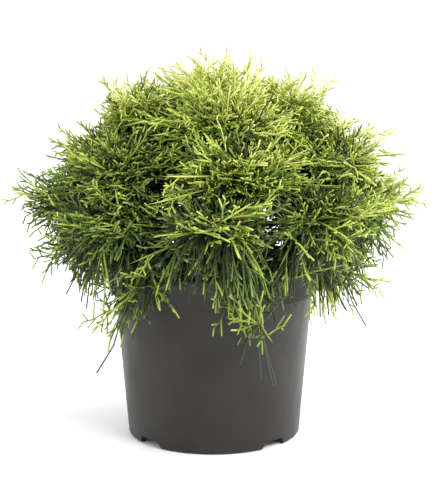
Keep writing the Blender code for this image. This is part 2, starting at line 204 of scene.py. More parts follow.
def notch_cutter(azimuth):
    bm = bmesh.new()
    section = []
    widths = ((NOTCH_WIDTH_LOW, -NOTCH_UNDERCUT), (NOTCH_WIDTH_LOW, 0.0), (NOTCH_WIDTH_HIGH, NOTCH_HEIGHT))
    for width, height in widths:
        section.insert(0, bm.verts.new((-width / 2, -FOOT_RADIUS * NOTCH_START, height)))
        section.append(bm.verts.new((width / 2, -FOOT_RADIUS * NOTCH_START, height)))
    pulled = bmesh.ops.extrude_face_region(bm, geom=[bm.faces.new(section)])
    bmesh.ops.translate(bm, verts=pulled_corners(pulled), vec=(0, -FOOT_RADIUS * NOTCH_PULL, 0))
    turn = Matrix.Rotation(math.radians(azimuth), 3, "Z")
    bmesh.ops.rotate(bm, verts=bm.verts, cent=(0, 0, 0), matrix=turn)
    return bm


# %% Drain holes
HOLE_RADIUS = 0.0050
HOLE_CIRCLE = 0.0640
HOLE_SIDES = 20
HOLE_CUT = 0.01


def hole_cutter(azimuth):
    bm = bmesh.new()
    bmesh.ops.create_cone(
        bm, cap_ends=True, segments=HOLE_SIDES, radius1=HOLE_RADIUS, radius2=HOLE_RADIUS, depth=HOLE_CUT
    )
    angle = math.radians(azimuth)
    middle = FLOOR_UNDERSIDE + FLOOR_THICK / 2
    place = (HOLE_CIRCLE * math.sin(angle), -HOLE_CIRCLE * math.cos(angle), middle)
    bmesh.ops.translate(bm, verts=bm.verts, vec=place)
    return bm


# %% Take the cutters away
def cut_away(bm, cutters):
    """Cuts closed bmeshes out of a bmesh, and gives back the result as a plain mesh."""
    objects = []
    for index, shape in enumerate([bm] + cutters):
        bmesh.ops.recalc_face_normals(shape, faces=shape.faces)
        mesh = bpy.data.meshes.new(f"cut_{index}")
        shape.to_mesh(mesh)
        shape.free()
        objects.append(bpy.data.objects.new(f"cut_{index}", mesh))
        bpy.context.scene.collection.objects.link(objects[-1])
    for cutter in objects[1:]:
        boolean = objects[0].modifiers.new(cutter.name, "BOOLEAN")
        boolean.operation = "DIFFERENCE"
        boolean.object = cutter
    graph = bpy.context.evaluated_depsgraph_get()
    result = bpy.data.meshes.new_from_object(objects[0].evaluated_get(graph))
    for helper in objects:
        bpy.data.objects.remove(helper, do_unlink=True)
    return result


# %% Cut the pot
SHARP_FROM = 32
foot_turn = 360 / FEET
cutters = [notch_cutter(NOTCH_TURN + foot_turn * foot) for foot in range(FEET)]
cutters += [hole_cutter(NOTCH_TURN + foot_turn / 2 + foot_turn * foot) for foot in range(FEET)]
pot_mesh = cut_away(spun(pot_profile, POT_STEPS), cutters)
pot_mesh.shade_smooth()
pot_mesh.set_sharp_from_angle(angle=math.radians(SHARP_FROM))
print("pot faces", len(pot_mesh.polygons))

# %% [markdown]
# ## Dark moulded plastic
# Recycled plastic is satin and not quite even: faintly mottled, with a fine grain from the mould
# and dull scuffs from the bench. Like every finish here it is a Principled shader, driven by
# noise on Object coordinates, so that the pattern keeps its real size and stays on the piece.
# Colours are written as they look on a screen, and turned into the linear values that a
# renderer works in.


# %% Helpers for finishes
def linear(red, green, blue):
    """A screen colour, each part from 0 to 255, as linear light."""
    parts = [value / 255 for value in (red, green, blue)]
    return [v / 12.92 if v <= 0.04045 else ((v + 0.055) / 1.055) ** 2.4 for v in parts] + [1.0]


def grey(value):
    return [value, value, value, 1.0]


def new_finish(name, roughness):
    finish = bpy.data.materials.new(name)
    finish.use_nodes = True
    shader = finish.node_tree.nodes["Principled BSDF"]
    shader.inputs["Roughness"].default_value = roughness
    return finish, finish.node_tree, shader


# %% Helpers for patterns
def add_noise(tree, scale, detail, stretch=(1.0, 1.0, 1.0)):
    """Noise on Object coordinates; scale is in cells a metre."""
    place = tree.nodes.new("ShaderNodeTexCoord")
    mapping = tree.nodes.new("ShaderNodeMapping")
    mapping.inputs["Scale"].default_value = stretch
    texture = tree.nodes.new("ShaderNodeTexNoise")
    texture.inputs["Scale"].default_value = scale
    texture.inputs["Detail"].default_value = detail
    tree.links.new(place.outputs["Object"], mapping.inputs["Vector"])
    tree.links.new(mapping.outputs["Vector"], texture.inputs["Vector"])
    return texture.outputs["Fac"]


def add_ramp(tree, source, stops):
    """Colours a grey value: stops are (place, colour) pairs."""
    ramp = tree.nodes.new("ShaderNodeValToRGB")
    ramp.color_ramp.elements[0].position, ramp.color_ramp.elements[0].color = stops[0]
    ramp.color_ramp.elements[1].position, ramp.color_ramp.elements[1].color = stops[-1]
    for place, colour in stops[1:-1]:
        ramp.color_ramp.elements.new(place).color = colour
    tree.links.new(source, ramp.inputs["Fac"])
    return ramp.outputs["Color"]


def add_bump(tree, shader, source, strength, distance):
    bump = tree.nodes.new("ShaderNodeBump")
    bump.inputs["Strength"].default_value = strength
    bump.inputs["Distance"].default_value = distance
    tree.links.new(source, bump.inputs["Height"])
    tree.links.new(bump.outputs["Normal"], shader.inputs["Normal"])


# %% Pot plastic
# Scuffs are drawn out along the height, because stacked pots are pulled apart that way.
SCUFF_STRETCH = (1.0, 1.0, 0.35)
SCUFF_ROUGHNESS = [(0.35, grey(0.36)), (0.75, grey(0.52))]
PLASTIC_TONES = [(0.3, linear(28, 26, 24)), (0.7, linear(37, 35, 32))]
PLASTIC_SHINE = 0.33


def pot_plastic():
    finish, tree, shader = new_finish("pot_plastic", roughness=0.4)
    shader.inputs["Specular IOR Level"].default_value = PLASTIC_SHINE
    mottle = add_noise(tree, scale=24.0, detail=4.0)
    tree.links.new(add_ramp(tree, mottle, PLASTIC_TONES), shader.inputs["Base Color"])
    scuffs = add_noise(tree, scale=60.0, detail=6.0, stretch=SCUFF_STRETCH)
    tree.links.new(add_ramp(tree, scuffs, SCUFF_ROUGHNESS), shader.inputs["Roughness"])
    grain = add_noise(tree, scale=900.0, detail=3.0)
    add_bump(tree, shader, grain, strength=0.25, distance=0.0002)
    return finish


# %% Put the pot in the scene
def put_in_scene(mesh, name, finish, slot, *nodes):
    """Links a finished mesh as a piece that rides on the root and stands for some CAD nodes."""
    piece = bpy.data.objects.new(name, mesh)
    bpy.context.scene.collection.objects.link(piece)
    mesh.materials.clear()
    mesh.materials.append(finish)
    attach(piece, "root")
    if nodes:
        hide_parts(*nodes)


put_in_scene(pot_mesh, "moulded_pot", pot_plastic(), "pot_plastic", "pot")

# %% [markdown]
# ## The growing medium
# Under the shoots lies moist, dark peat with crumbs of bark. Only its top could ever show, so a
# turned disc is enough. Its top is pushed up and down by a slow roll, like that of the solid, and
# by noise of two sizes for the crumbs.

# %% Shape of the medium
SOIL_LEVEL = 0.160
SOIL_EDGE = 0.1058
SOIL_THICK = 0.012
SOIL_TAPER = 0.003
SOIL_RINGS = 44
SOIL_STEPS = 150
ROLL = 0.0016
CRUMB = 0.0022
COARSE_SHARE = 0.7
FINE_SHARE = 0.5
# The waves of the roll in radians a metre, where they start, and the crumbs in cells a metre.
WAVES_X, WAVES_Y = 61, 74
START_X, START_Y = 0.8, -0.5
COARSE_CRUMBS = 120
FINE_CRUMBS = 420
FINE_LAYER = 0.3


def crumbled(x, y):
    """How far the top is lifted or lowered at a place."""
    roll = math.sin(WAVES_X * x + START_X) * math.sin(WAVES_Y * y + START_Y)
    coarse = noise.noise(Vector((x, y, 0.0)) * COARSE_CRUMBS)
    fine = noise.noise(Vector((x, y, FINE_LAYER)) * FINE_CRUMBS)
    return ROLL * roll + CRUMB * (COARSE_SHARE * coarse + FINE_SHARE * fine)


def soil_mesh():
    profile = [(0.0, SOIL_LEVEL - SOIL_THICK), (SOIL_EDGE - SOIL_TAPER, SOIL_LEVEL - SOIL_THICK)]
    profile += [(SOIL_EDGE * (1 - ring / SOIL_RINGS), SOIL_LEVEL) for ring in range(SOIL_RINGS + 1)]
    bm = spun(profile, SOIL_STEPS)
    for vertex in bm.verts:
        if vertex.co.z > SOIL_LEVEL - SOIL_THICK / 2:
            vertex.co.z += crumbled(vertex.co.x, vertex.co.y)
    mesh = bpy.data.meshes.new("growing_medium")
    bm.to_mesh(mesh)
    bm.free()
    mesh.shade_smooth()
    return mesh


# %% Peat
PEAT_TONES = [(0.35, linear(22, 16, 12)), (0.55, linear(48, 34, 25)), (0.72, linear(96, 66, 46))]


def peat():
    """Near-black peat with brown crumbs: the higher a crumb, the browner."""
    finish, tree, shader = new_finish("peat", roughness=0.9)
    crumbs = add_noise(tree, scale=330.0, detail=5.0)
    tree.links.new(add_ramp(tree, crumbs, PEAT_TONES), shader.inputs["Base Color"])
    add_bump(tree, shader, crumbs, strength=0.8, distance=0.0012)
    return finish


medium_mesh = soil_mesh()
put_in_scene(medium_mesh, "crumbly_medium", peat(), "growing_medium", "growing_medium")
print("medium faces", len(medium_mesh.polygons))

# %% [markdown]
# ## The rule of growth
# The crown first grows as if it weighed nothing: each mass spreads out from the heart of the
# crown, in a cell of azimuth and elevation that belongs to its bough. Then weight carries the
# shoots down: not at all inside the rim, and by most of their sag within a few centimetres past
# it. Azimuth is 0 towards the camera and grows to its right. The tables are the ones that the
# solids grew by, so the fine shoots fill the same outline.

# %% Reach and sag
# Boughs end on a ball round the heart of the crown, and the sprays begin there.
HEART = np.array((0.0, 0.0, 0.215))
LIMB_BALL = 0.075
# How far the outline is from the heart, by elevation, and by how large a share more it is on the
# right than in front.
REACH_AT = (-16, -7, 2, 12, 28, 45, 63, 75, 90)
REACH_FAR = (0.139, 0.168, 0.208, 0.220, 0.203, 0.189, 0.190, 0.176, 0.174)
REACH_LEAN = (0.000, 0.010, 0.015, 0.015, 0.045, 0.030, -0.010, 0.030, 0.000)
# The sag starts at a distance from the axis, is half as deep as it gets a little farther out, and
# is at most so deep, by azimuth.
SAG_START = 0.112
SAG_SOFT = 0.0125
SAG_AT = (-180, -135, -90, -62, -44, -24, 0, 17, 36, 62, 90, 135, 180)
SAG_MOST = (0.060, 0.095, 0.030, 0.050, 0.112, 0.050, 0.055, 0.112, 0.050, 0.060, 0.050, 0.090, 0.060)
# Shoots above the sag's top keep only its least share, and those a band lower have all of it.
SAG_TOP = 0.245
SAG_BAND = 0.062
SAG_LEAST = 0.14


# %% Directions and outline
def compass(azimuth, elevation):
    """The unit vector of a direction."""
    a, e = np.radians(azimuth), np.radians(elevation)
    return np.stack([np.sin(a) * np.cos(e), -np.cos(a) * np.cos(e), np.sin(e)], axis=-1)


def bearing(arm):
    """The azimuth and elevation of a vector from the heart."""
    level = np.hypot(arm[..., 0], arm[..., 1])
    azimuth = np.degrees(np.arctan2(arm[..., 0], -arm[..., 1]))
    return azimuth, np.degrees(np.arctan2(arm[..., 2], level))


def reach(azimuth, elevation):
    far = np.interp(elevation, REACH_AT, REACH_FAR)
    lean = np.interp(elevation, REACH_AT, REACH_LEAN)
    return far * (1 + lean * np.sin(np.radians(azimuth)))


def outline(aim):
    """Where a unit vector from the heart meets the outline of the straight crown."""
    return HEART + aim * reach(*bearing(aim))[..., None]


front_far = np.linalg.norm(outline(compass(0, 12)) - HEART)
print("the outline in front, at its widest, is", front_far, "from the heart")


# %% Sag
def sagged(points):
    """Carries points of the straight crown to where the shoots' own weight takes them."""
    x, y, z = points[..., 0], points[..., 1], points[..., 2]
    over = np.maximum(0.0, np.hypot(x, y) - SAG_START)
    most = np.interp(np.degrees(np.arctan2(x, -y)), SAG_AT, SAG_MOST)
    share = np.clip((SAG_TOP - z) / SAG_BAND, SAG_LEAST, 1.0)
    drop = most * share * over**2 / (over**2 + SAG_SOFT**2)
    return np.stack([x, y, z - drop], axis=-1)


# %% Room round the pot
RIM_WIDTH = 0.006
SOIL_ROOM = 0.004
STEM_ROOM = 0.002
SHOOT_ROOM = 0.0006


def clear_of_pot(points, room):
    """True where a point clears the pot's rim and outer side, and the growing medium."""
    out = np.hypot(points[..., 0], points[..., 1])
    over_rim = points[..., 2] > POT_HEIGHT + room
    over_soil = points[..., 2] > SOIL_LEVEL + SOIL_ROOM
    near_rim = out > RIM_RADIUS - RIM_WIDTH - room
    return np.where(out > RIM_RADIUS + room, True, np.where(near_rim, over_rim, over_soil))


# %% [markdown]
# ## Rows, masses and cells
# The boughs leave the trunk in rows, and each bough carries one mass of sprays. A mass has a cell
# of the outline to itself, so that no mass grows into the next. Each row says how many masses it
# has, the elevations where its cells begin, where its leaders point and where its cells end, how
# it is turned, at what height its first bough leaves the trunk, and how much higher the others
# do, step by step. The last two values are new here: how many finer side shoots a mass gets, and
# how many branchlets each of its stems carries.

# %% Table of the rows
Row = namedtuple("Row", "name masses low stem high turn leave step finer forks")
ROWS = (
    Row("skirt", 7, -17, -3, 2, 17, 0.1790, 0.0030, 0, 1),
    Row("low", 8, 2, 11, 20, 0, 0.2010, 0.0026, 9, 3),
    Row("middle", 6, 20, 30, 41, 12, 0.2250, 0.0028, 13, 3),
    Row("high", 4, 41, 53, 66, -82, 0.2440, 0.0030, 18, 3),
    Row("top", 1, 66, 90, 90, 0, None, None, 20, 3),
)

# %% Places in a cell
# Where the coarse side shoots end: shares of half the cell, across and up, from its middle. The
# cell of the top is a cap, so its shares run round it and down from the pole.
PLACES = (
    (-0.70, -0.60),
    (0.00, -0.66),
    (0.70, -0.60),
    (-0.74, 0.06),
    (0.74, 0.06),
    (-0.40, 0.66),
    (0.40, 0.66),
)
TOP_PLACES = ((-0.80, 0.62), (-0.55, 0.40), (-0.30, 0.68), (0.00, 0.42), (0.30, 0.66), (0.62, 0.46))
# Finer side shoots go round by a golden share of the cell each time, which spreads them evenly.
GOLDEN = 0.618


def places_of(row):
    """The places of all side shoots of a mass, coarse ones first."""
    capped = row.masses == 1
    places = list(TOP_PLACES if capped else PLACES)
    for index in range(row.finer):
        across = (index * GOLDEN % 1) * 2 - 1
        up = (index + 0.5) / row.finer
        places.append((across, up if capped else up * 2 - 1))
    return places


def cell_aim(row, number, across_share, up_share):
    """Unit vector to a place in the cell of a mass."""
    if row.masses == 1:
        return compass(180 * across_share, row.high - (row.high - row.low) * up_share)
    azimuth = row.turn + (number * 2 + across_share) * 180 / row.masses
    return compass(azimuth, (row.low + row.high + up_share * (row.high - row.low)) / 2)


# %% [markdown]
# ## Stems of the sprays
# Each mass has a leader that goes on from its bough, side shoots that bow out from the leader to
# places near the outline, and branchlets that leave these stems and end beside them. How far
# they get is drawn with triangular odds, so that only a few stand out from the rest, as the
# single threads round such a crown do. Stems are kept as nine points each, so that all of them
# can be bent, measured and skinned together.

# %% Bowed stems
STATIONS = 9
BOW = 0.32
# The least, the most and the commonest share of the reach that a stem gets to.
SHOOT_ENDS = (0.62, 1.02, 0.74)
BRANCHLET_ENDS = (0.55, 1.02, 0.72)


def bow(start, handle, end):
    t = np.linspace(0, 1, STATIONS)[:, None]
    return (1 - t) ** 2 * start + 2 * t * (1 - t) * handle + t * t * end


def side_shoot(leader, aim, share, leave):
    """Leaves the leader at a share of its length, along it at first, and ends near the outline."""
    tip = HEART + (outline(aim) - HEART) * share
    foot = leader[0] + (leader[-1] - leader[0]) * leave
    along = (leader[-1] - leader[0]) / np.linalg.norm(leader[-1] - leader[0])
    return bow(foot, foot + along * BOW * np.linalg.norm(tip - foot), tip)


# %% Branchlets
# Where on its stem a branchlet starts, and how far from the stem's own aim it ends. The spread
# to the side widens with height, because a degree of azimuth gets shorter there.
FOOT_STATIONS = (1, 6)
SIDE_SPREAD = 13
LEVEL_LEAST = 0.25
RISE_SPREAD = 10
FORWARD = (0.6, 1.3)
# A branchlet sets out along the line between these two stations of its stem.
LINE_START, LINE_END = 2, 4


def branchlet(stem, rng):
    """A branchlet leaves its stem part way out, and ends a little to one side of its tip."""
    foot = stem[rng.randrange(*FOOT_STATIONS)]
    azimuth, elevation = bearing(stem[-1] - HEART)
    spread = SIDE_SPREAD / max(LEVEL_LEAST, math.cos(math.radians(elevation)))
    turned = azimuth + rng.uniform(-spread, spread)
    aim = compass(turned, elevation + rng.uniform(-RISE_SPREAD, RISE_SPREAD))
    tip = HEART + (outline(aim) - HEART) * rng.triangular(*BRANCHLET_ENDS)
    along = stem[LINE_END] - stem[LINE_START]
    return bow(foot, foot + along * rng.uniform(*FORWARD), tip)


# %% Grow the stems of one mass
SEED = 7
TRIES = 3
AIM_JITTER = 0.1
LEAVE_SHARES = (0.03, 0.50)


def clears(path):
    return clear_of_pot(sagged(path), STEM_ROOM).all()


def jittered(share, rng):
    return share + rng.uniform(-AIM_JITTER, AIM_JITTER)


def stems_of(row, number):
    """The leader, side shoots and branchlets of a mass; those that would meet the pot are left out."""
    name = row.name if row.masses == 1 else f"{row.name}_{number + 1}"
    rng = random.Random(f"{SEED} {name}")
    stem_aim = compass(row.turn + number * 360 / row.masses, row.stem)
    start = HEART + stem_aim * LIMB_BALL
    leader = start + (outline(stem_aim) - start) * np.linspace(0, 1, STATIONS)[:, None]
    stems = [leader]
    for across, up in places_of(row):
        for _ in range(TRIES):
            aim = cell_aim(row, number, jittered(across, rng), jittered(up, rng))
            path = side_shoot(leader, aim, rng.triangular(*SHOOT_ENDS), rng.uniform(*LEAVE_SHARES))
            if clears(path):
                stems.append(path)
                break
    for stem in list(stems):
        branchlets = [branchlet(stem, rng) for _ in range(row.forks)]
        stems += [path for path in branchlets if clears(path)]
    return stems


# %% Grow all stems
stems = np.array([stem for row in ROWS for number in range(row.masses) for stem in stems_of(row, number)])
print("stems", len(stems))

# %% [markdown]
# ## Threads and their tips
# The cord-like shoots of this cypress carry tiny pressed scale leaves, and fork again and again
# near one plane, left and right in turn, like a fern. Threads leave each stem that way, bend
# forward as they grow, and carry short tips of their own. Growing them one by one is slow, so
# all shoots of a kind grow together, on whole arrays.

# %% Kinds of shoot
# How many a parent carries, on which shares of its length, at which angles, how long they are
# near its foot and near its tip, how far they leave the plane (in radians), where along them
# their points are, and their radius.
Kind = namedtuple("Kind", "count first last angles lengths scatter points radius")
THREAD_POINTS = (0.0, 0.02, 0.22, 0.42, 0.62, 0.82, 0.975, 1.0)
TIP_POINTS = (0.0, 0.05, 0.93, 1.0)
INNER_POINTS = (0.0, 0.1, 0.5, 0.95, 1.0)
THREAD = Kind(6, 0.14, 0.90, (30, 60), (0.038, 0.017), 0.5, THREAD_POINTS, 0.00088)
TIP = Kind(3, 0.34, 0.95, (34, 58), (0.013, 0.006), 0.35, TIP_POINTS, 0.00088)
INNER = Kind(8, 0.0, 1.0, (40, 140), (0.042, 0.024), 3.1, INNER_POINTS, 0.00088)

draws = np.random.default_rng(SEED)

# %% Directions across a shoot
ALMOST_UPRIGHT = 0.05
TINY = 1e-9


def unit(vectors):
    return vectors / np.maximum(np.linalg.norm(vectors, axis=-1, keepdims=True), TINY)


def sideways(along):
    """Two unit vectors square to each direction, the first as level as it can be."""
    level = np.cross(along, (0.0, 0.0, 1.0))
    upright = np.linalg.norm(level, axis=-1, keepdims=True) < ALMOST_UPRIGHT
    side = unit(np.where(upright, np.array((1.0, 0.0, 0.0)), level))
    return side, np.cross(along, side)


# %% Offshoots of every parent at once
PLACE_JITTER = (0.2, 0.8)
LENGTH_JITTER = (0.7, 1.2)
# The share of its angle that a shoot keeps at its end, as it bends forward.
ANGLE_LEFT = 0.55


def feet_of(parents, t):
    """Where shares t of the length fall on each parent, and which way the parent goes there."""
    steps = parents.shape[1] - 1
    low = np.minimum((t * steps).astype(int), steps - 1)
    part = (t * steps - low)[..., None]
    rows = np.arange(len(parents))[:, None]
    start, end = parents[rows, low], parents[rows, low + 1]
    return start + (end - start) * part, unit(end - start)


def offshoots(parents, kind, tilt):
    """Curved side shoots left and right in turn, the number of each one's parent, and its turn."""
    numbers = np.arange(kind.count)
    jitter = draws.uniform(*PLACE_JITTER, (len(parents), kind.count))
    t = kind.first + (kind.last - kind.first) * (numbers + jitter) / kind.count
    foot, along = feet_of(parents, t)
    side, up = sideways(along)
    scatter = draws.uniform(-kind.scatter, kind.scatter, t.shape)
    turn = tilt[:, None] + scatter + np.pi * (numbers % 2)
    out = np.cos(turn)[..., None] * side + np.sin(turn)[..., None] * up
    lean = np.radians(draws.uniform(*kind.angles, t.shape))[..., None]
    near, far = kind.lengths
    length = (near + (far - near) * t) * draws.uniform(*LENGTH_JITTER, t.shape)
    opening = np.cos(lean) * along + np.sin(lean) * out
    closing = np.cos(ANGLE_LEFT * lean) * along + np.sin(ANGLE_LEFT * lean) * out
    u = np.array(kind.points)[:, None]
    run = u * opening[..., None, :] + 0.5 * u * u * (closing - opening)[..., None, :]
    paths = foot[..., None, :] + length[..., None, None] * run
    paths = paths.reshape(t.size, len(kind.points), 3)
    return paths, np.repeat(np.arange(len(parents)), kind.count), turn.reshape(-1)


# %% Grow the threads
# The most that the plane of a stem's threads is turned about the stem, in radians.
MOST_TILT = 0.9
tilt = draws.uniform(-MOST_TILT, MOST_TILT, len(stems))
threads, thread_stem, thread_turn = offshoots(stems, THREAD, tilt)
# A thread that would meet the pot is dropped before it gets tips, so that no tip hangs loose.
free = clear_of_pot(sagged(threads), SHOOT_ROOM).all(axis=1)
threads, thread_stem, thread_turn = threads[free], thread_stem[free], thread_turn[free]
print("threads", len(threads))

# %% Grow the tips
tips, tip_thread, _ = offshoots(threads, TIP, thread_turn)
print("tips", len(tips))

# %% [markdown]
# ## Shoots inside the crown
# Between the boughs such a plant is full of older, shaded shoots that point every way. They keep
# the eye from looking through the crown, so they are grown on the inner part of the lower stems
# only: higher up, the sprays themselves close the view. They all take the darkest tone, which is
# painted shade.

# %% Grow the inner shoots
INNER_CEILING = 0.10
INNER_STATIONS = 4
INNER_TILT = 3
low_stems = stems[:, -1, 2] < HEART[2] + INNER_CEILING
inner, _, _ = offshoots(stems[low_stems, :INNER_STATIONS], INNER, tilt[low_stems] * INNER_TILT)
print("inner shoots", len(inner))

# %% [markdown]
# ## Skinning the shoots
# A shoot becomes a thin three-sided tube that starts and ends in a point, which closes it.
# Bevelled curves would do it too, but slowly for so many. So the corners and faces of all tubes
# of a piece are worked out together, and handed to one mesh.

# %% Tubes
SIDES = 3


def ring_corners(paths, radii):
    """Corners of the rings round the inner points of each path."""
    along = unit(np.gradient(paths, axis=1))
    side, _ = sideways(along[:, 1:2])
    side = unit(side - np.sum(side * along, axis=-1, keepdims=True) * along)[:, 1:-1]
    up = np.cross(along[:, 1:-1], side)
    angles = np.arange(SIDES) * 2 * np.pi / SIDES
    spokes = np.cos(angles)[:, None] * side[:, :, None] + np.sin(angles)[:, None] * up[:, :, None]
    return paths[:, 1:-1, None] + radii[..., None, None] * spokes


def tube_faces(rings):
    """Faces of one tube, four-sided ones and the triangles of its points, by corner number."""
    first, last = rings * SIDES, rings * SIDES + 1
    top = (rings - 1) * SIDES
    quads, triangles = [], []
    for number in range(SIDES):
        after = (number + 1) % SIDES
        triangles.append((first, after, number))
        triangles.append((top + number, top + after, last))
        for low in range(0, top, SIDES):
            high = low + SIDES
            quads.append((low + number, low + after, high + after, high + number))
    return np.array(quads), np.array(triangles)


def tubes(paths, radii):
    """Corners and faces of pointed tubes along many paths; radii are for the inner points."""
    total, rings = radii.shape
    ring = ring_corners(paths, radii).reshape(total, -1, 3)
    corners = np.concatenate([ring, paths[:, :1], paths[:, -1:]], axis=1)
    base = (np.arange(total) * corners.shape[1])[:, None, None]
    faces = [(base + block).reshape(-1, block.shape[1]) for block in tube_faces(rings)]
    return corners.reshape(-1, 3), faces


# %% Meshes from arrays
def mesh_from(name, points, faces):
    """A smooth mesh from a point array and arrays of faces of one size each."""
    mesh = bpy.data.meshes.new(name)
    sizes = np.concatenate([np.full(len(block), block.shape[1]) for block in faces])
    corners = np.concatenate([block.reshape(-1) for block in faces])
    starts = np.concatenate([[0], np.cumsum(sizes)[:-1]])
    mesh.vertices.add(len(points))
    mesh.loops.add(len(corners))
    mesh.polygons.add(len(sizes))
    mesh.vertices.foreach_set("co", points.astype(np.float32).reshape(-1))
    mesh.loops.foreach_set("vertex_index", corners.astype(np.int32))
    mesh.polygons.foreach_set("loop_start", starts.astype(np.int32))
    mesh.update(calc_edges=True)
    mesh.shade_smooth()
    return mesh


# %% [markdown]
# ## Colours of the sprays, with painted light and shade
# New growth in full light is gold-green, and what lies below or inside is deeper. The tones also
# hold painted light and painted shade: a shoot is painted lighter high up, towards the outline and
# on the right, where the key lamp stands, and darker deep inside the crown. A shader could
# read height and depth, but then the step from one shoot to the next would be lost. So each
# shoot gets one plain tone of six, by where it is and by the luck of its spray and its own.

# %% Tones
Tone = namedtuple("Tone", "name colour")
TONES = (
    Tone("shade", (40, 54, 20)),
    Tone("deep", (70, 92, 32)),
    Tone("green", (104, 130, 44)),
    Tone("leaf", (144, 164, 58)),
    Tone("lime", (180, 192, 82)),
    Tone("gold", (212, 216, 122)),
)
# The share of threads and tips that is darker than the start of each tone after the first.
TONE_STARTS = (0.12, 0.34, 0.62, 0.86, 0.97)


def shoot_finish(tone):
    """Waxy scale leaves: satin, with the fine relief of the scales."""
    finish, tree, shader = new_finish(f"shoots_{tone.name}", roughness=0.5)
    shader.inputs["Base Color"].default_value = linear(*tone.colour)
    add_bump(tree, shader, add_noise(tree, scale=700.0, detail=2.0), strength=0.5, distance=0.0004)
    return finish


finishes = {tone.name: shoot_finish(tone) for tone in TONES}

# %% How light a shoot is painted
# Painted light and shade, in shares of full light: painted shade deep inside, more for each share
# of the reach past a start and up to a limit, more for each degree of elevation, and more on the
# right, where the light comes from, as painted light.
LIGHT_INSIDE = 0.10
LIGHT_OUTWARDS = 0.95
LIGHT_FROM = 0.45
LIGHT_RANGE = 0.6
LIGHT_PER_DEGREE = 0.0032
LIGHT_SIDE = 0.05
SPRAY_LUCK = 0.07
THREAD_LUCK = 0.07
TIP_EXTRA = 0.05
STEM_EXTRA = 0.06


def painted_brightness(straight, spray_luck):
    """How light a shoot at a point is painted: painted light with height and towards the outline, painted
    shade deep inside.
    """
    arm = straight - HEART
    azimuth, elevation = bearing(arm)
    out = np.linalg.norm(arm, axis=-1) / reach(azimuth, elevation)
    outwards = LIGHT_OUTWARDS * np.clip(out - LIGHT_FROM, 0, LIGHT_RANGE)
    light = LIGHT_INSIDE + outwards + LIGHT_PER_DEGREE * elevation
    return light + LIGHT_SIDE * np.sin(np.radians(azimuth)) + spray_luck


luck = draws.normal(0.0, SPRAY_LUCK, len(stems))
# Painted light and shade of every thread, tip and stem, with the luck of its spray: this picks each
# shoot's tone.
thread_middles = threads[:, len(THREAD.points) // 2]
thread_painted_light = painted_brightness(thread_middles, luck[thread_stem]) + draws.normal(0, THREAD_LUCK, len(threads))
tip_middles = tips[:, len(TIP.points) // 2]
tip_painted_light = painted_brightness(tip_middles, luck[thread_stem[tip_thread]]) + TIP_EXTRA
stem_painted_light = painted_brightness(stems[:, -1], luck) + STEM_EXTRA
tone_levels = np.quantile(np.concatenate([thread_painted_light, tip_painted_light]), TONE_STARTS)
print("tones start at", tone_levels)

# %% Join the shoots by tone
PIECE_LIMIT = 190_000


def add_shoots(kind, straight, radii, light):
    """Skins one kind of shoot, a piece for each tone, and splits a piece that is too large."""
    keep = clear_of_pot(sagged(straight), SHOOT_ROOM).all(axis=1)
    # The tone of each shoot follows its painted light and shade.
    tone_of = np.searchsorted(tone_levels, light)
    triangles = 2 * SIDES * radii.shape[1]
    made = 0
    for index, tone in enumerate(TONES):
        chosen = np.nonzero(keep & (tone_of == index))[0]
        if not len(chosen):
            continue
        parts = math.ceil(len(chosen) * triangles / PIECE_LIMIT)
        for part, group in enumerate(np.array_split(chosen, parts)):
            name = f"{kind}_{tone.name}" + (f"_{part + 1}" if parts > 1 else "")
            mesh = mesh_from(name, *tubes(sagged(straight[group]), radii[group]))
            put_in_scene(mesh, name, finishes[tone.name], "shoots")
            made += len(group) * triangles
    print(kind, made, "triangles")


# %% Skin the threads, tips and inner shoots
THREAD_TAPER = 0.25
KNOB = (0.82, 1.15)
# Inner shoots are all painted in the darkest tone, as painted shade.
DARKEST_PAINTED_SHADE = -1.0


def plain_radii(shoots, kind):
    return np.full((len(shoots), len(kind.points) - 2), kind.radius)


def knobbed_radii(shoots, kind):
    """Radii that swell and narrow along each shoot, as its scale leaves do."""
    rings = len(kind.points) - 2
    level = 1.0 - THREAD_TAPER * np.linspace(0, 1, rings)
    return kind.radius * level * draws.uniform(*KNOB, (len(shoots), rings))


add_shoots("thread", threads, knobbed_radii(threads, THREAD), thread_painted_light)
add_shoots("tip", tips, plain_radii(tips, TIP), tip_painted_light)
add_shoots("inner", inner, plain_radii(inner, INNER), np.full(len(inner), DARKEST_PAINTED_SHADE))

# %% [markdown]
# ## Twigs
# Inside the crown the older part of each stem is woody and red-brown, and farther out it is
# green like the threads. The two parts are two tubes that overlap, because a tube has one finish
# here, and their points hide in each other.

# %% Bark
BARK_STRETCH = (1.0, 1.0, 0.3)
BARK_TONES = [(0.3, linear(62, 36, 24)), (0.5, linear(112, 66, 42)), (0.75, linear(150, 100, 70))]


def bark():
    finish, tree, shader = new_finish("bark", roughness=0.8)
    streaks = add_noise(tree, scale=260.0, detail=5.0, stretch=BARK_STRETCH)
    tree.links.new(add_ramp(tree, streaks, BARK_TONES), shader.inputs["Base Color"])
    add_bump(tree, shader, streaks, strength=0.7, distance=0.0008)
    return finish


bark_finish = bark()

# %% Woody twigs and green stems
STEM_RADIUS = 0.0012
STEM_TAPER = (1.25, 0.75)
WOODY_STATIONS = 6
GREEN_FROM = 3
stem_rings = np.linspace(*STEM_TAPER, STATIONS - 2) * STEM_RADIUS * np.ones((len(stems), 1))
woody_paths, woody_rings = stems[:, :WOODY_STATIONS], stem_rings[:, : WOODY_STATIONS - 2]
foliage_nodes = [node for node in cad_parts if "foliage" in node]
woody = mesh_from("woody_twigs", *tubes(sagged(woody_paths), woody_rings))
put_in_scene(woody, "woody_twigs", bark_finish, "bark", *foliage_nodes)
add_shoots("stem", stems[:, GREEN_FROM:], stem_rings[:, GREEN_FROM:], stem_painted_light)

